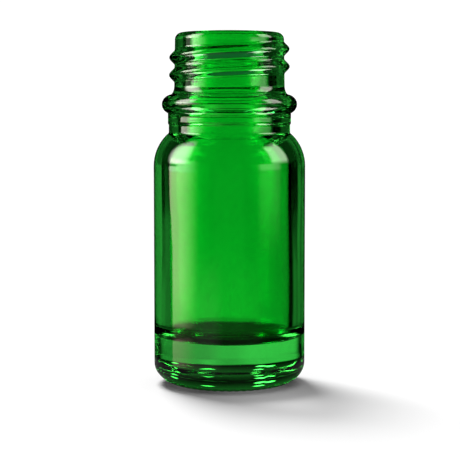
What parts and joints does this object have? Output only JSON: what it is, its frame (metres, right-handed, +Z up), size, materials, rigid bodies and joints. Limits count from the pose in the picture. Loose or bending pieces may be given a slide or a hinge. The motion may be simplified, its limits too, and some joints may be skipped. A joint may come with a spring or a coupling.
{
  "type": "medicine bottle",
  "caption": "Small round green glass dropper bottle, open, with a thick base, rounded shoulder, bead and right-hand screw neck.",
  "frame": {"origin": "middle of the ring that the bottle rests on", "axes": "+Z up along the bottle's axis, out of the mouth; X and Y across the body, the thread's upper end points 60 degrees anticlockwise from +X"},
  "size_m": [0.022, 0.022, 0.051],
  "materials": {
    "green_glass": "clear emerald-green moulded glass, fire-polished and glossy, with faint mould marks"
  },
  "bodies": {
    "root": {"glass_bottle": "green_glass"}
  },
  "joints": []
}
